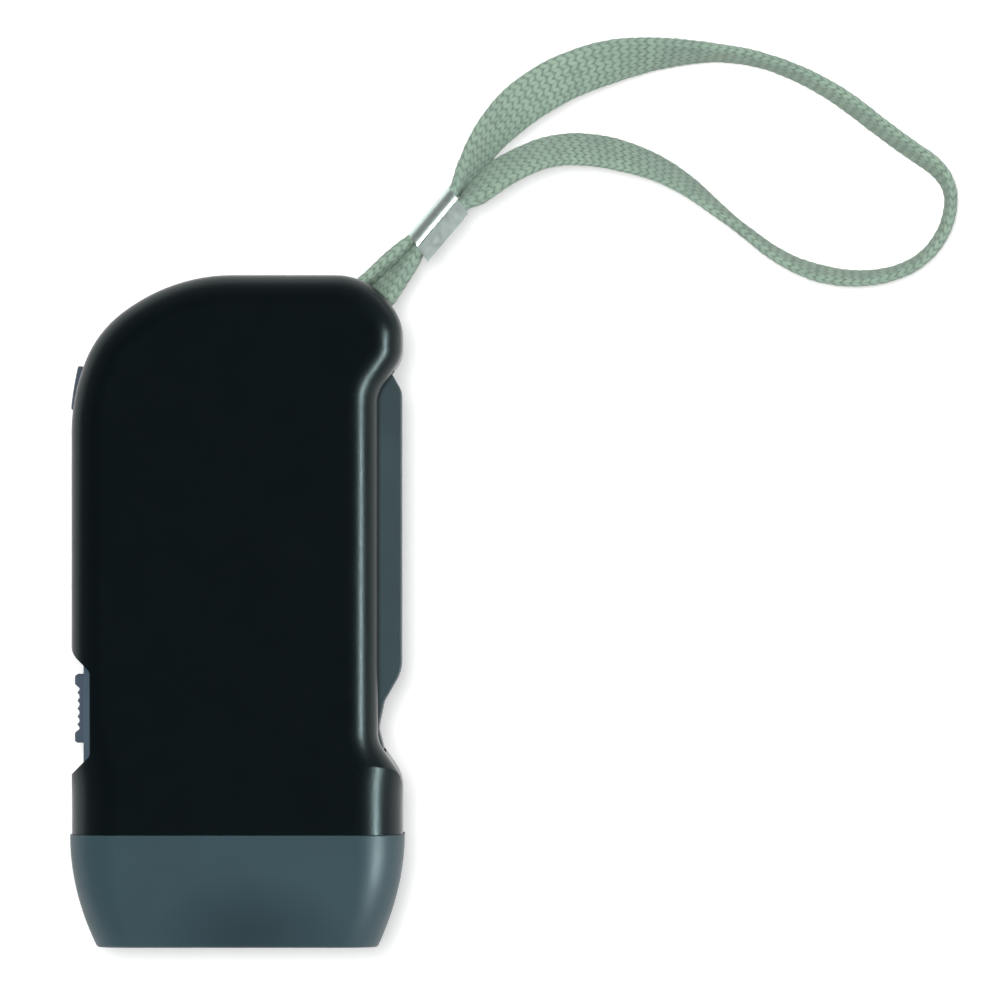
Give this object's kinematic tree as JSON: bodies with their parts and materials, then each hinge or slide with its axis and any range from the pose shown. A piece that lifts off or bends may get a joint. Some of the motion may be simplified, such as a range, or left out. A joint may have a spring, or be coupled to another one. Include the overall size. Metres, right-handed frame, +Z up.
{
  "type": "hand crank flashlight",
  "caption": "Palm-sized hand-press dynamo torch: two-part housing, tapered lamp bezel, side squeeze lever with gear train, slide lock, slide switch and clipped wrist strap.",
  "frame": {"origin": "centre of the body's footprint on the surface that it lies on", "axes": "+Y from the lens to the tail, +X towards the squeeze lever's side, +Z up through the broad faces"},
  "size_m": [0.1392, 0.1414, 0.036],
  "materials": {
    "slate_plastic": "satin",
    "green_board": "solder mask",
    "brass_bush": "turned",
    "cell_can": "nickel can",
    "satin_clip": "satin nickel",
    "enamel_copper": "varnished winding",
    "black_rubber": "matt",
    "white_nylon": "natural moulded nylon",
    "black_fitting": "moulded",
    "knob_plastic": "satin, ribbed",
    "led_resin": "clear resin",
    "clear_lens": "clear, gloss",
    "bonded_ferrite": "dull grey-black",
    "plated_reflector": "mirror plated",
    "black_shell": "fine satin grain",
    "bright_steel": "bright zinc plate",
    "strap_braid": "herringbone braid"
  },
  "bodies": {
    "root": {"bezel": "slate_plastic", "cell_holder": "black_fitting", "cell_spring": "bright_steel", "coin_cell": "cell_can", "gear_axles": "bright_steel", "gearbox_screws": "bright_steel", "led_board": "green_board", "leds": "led_resin", "lens": "clear_lens", "lens_gasket": "black_rubber", "lever_pin": "bright_steel", "lower_gear_plate": "black_fitting", "lower_pole_cup": "bright_steel", "plate_spacers": "brass_bush", "reflector": "plated_reflector", "resistors": "black_fitting", "return_spring": "bright_steel", "rotor_bushes": "brass_bush", "shell_bottom": "black_shell", "shell_screws": "bright_steel", "shell_top": "black_shell", "stator_winding": "enamel_copper", "strap_clip": "satin_clip", "switch_body": "black_fitting", "switch_pins": "bright_steel", "thumb_inlay": "slate_plastic", "upper_gear_plate": "black_fitting", "upper_pole_cup": "bright_steel", "winding_bobbin": "white_nylon", "wrist_strap": "strap_braid"},
    "squeeze_lever": {"squeeze_lever": "slate_plastic", "sector_gear": "white_nylon", "sector_screws": "bright_steel"},
    "first_gear": {"first_gear": "white_nylon"},
    "second_gear": {"second_gear": "white_nylon"},
    "rotor": {"rotor_shaft": "bright_steel", "rotor_pinion": "brass_bush", "rotor_magnet": "bonded_ferrite", "rotor_wheel": "white_nylon"},
    "lock_slide": {"lock_knob": "knob_plastic", "lock_bar": "black_fitting"},
    "power_slide": {"power_knob": "knob_plastic", "switch_slider": "black_fitting"}
  },
  "joints": [
    {"name": "lever_swing", "type": "hinge", "parent": "root", "child": "squeeze_lever", "pos_m": [0.017, -0.019, 0.018], "axis": [0, 0, -1], "range_deg": [0, 18]},
    {"name": "first_gear_spin", "type": "hinge", "parent": "root", "child": "first_gear", "pos_m": [0.00241, 0.02336, 0.014], "axis": [0, 0, 1], "range_deg": [-0.5, 150.5]},
    {"name": "second_gear_spin", "type": "hinge", "parent": "root", "child": "second_gear", "pos_m": [-0.01095, 0.02524, 0.014], "axis": [0, 0, 1], "range_deg": [-525.5, 0.5]},
    {"name": "rotor_spin", "type": "hinge", "parent": "root", "child": "rotor", "pos_m": [-0.01242, 0.01484, 0.022], "axis": [0, 0, 1], "range_deg": [-0.5, 1313]},
    {"name": "lock_slide", "type": "slide", "parent": "root", "child": "lock_slide", "axis": [0, -1, 0], "range_m": [0, 0.0025]},
    {"name": "power_slide", "type": "slide", "parent": "root", "child": "power_slide", "axis": [0, -1, 0], "range_m": [0, 0.0025]}
  ],
  "couplings": [
    {"joint": "first_gear_spin", "follows": "lever_swing", "ratio": 8.3333},
    {"joint": "second_gear_spin", "follows": "lever_swing", "ratio": -29.167},
    {"joint": "rotor_spin", "follows": "lever_swing", "ratio": 72.917}
  ]
}
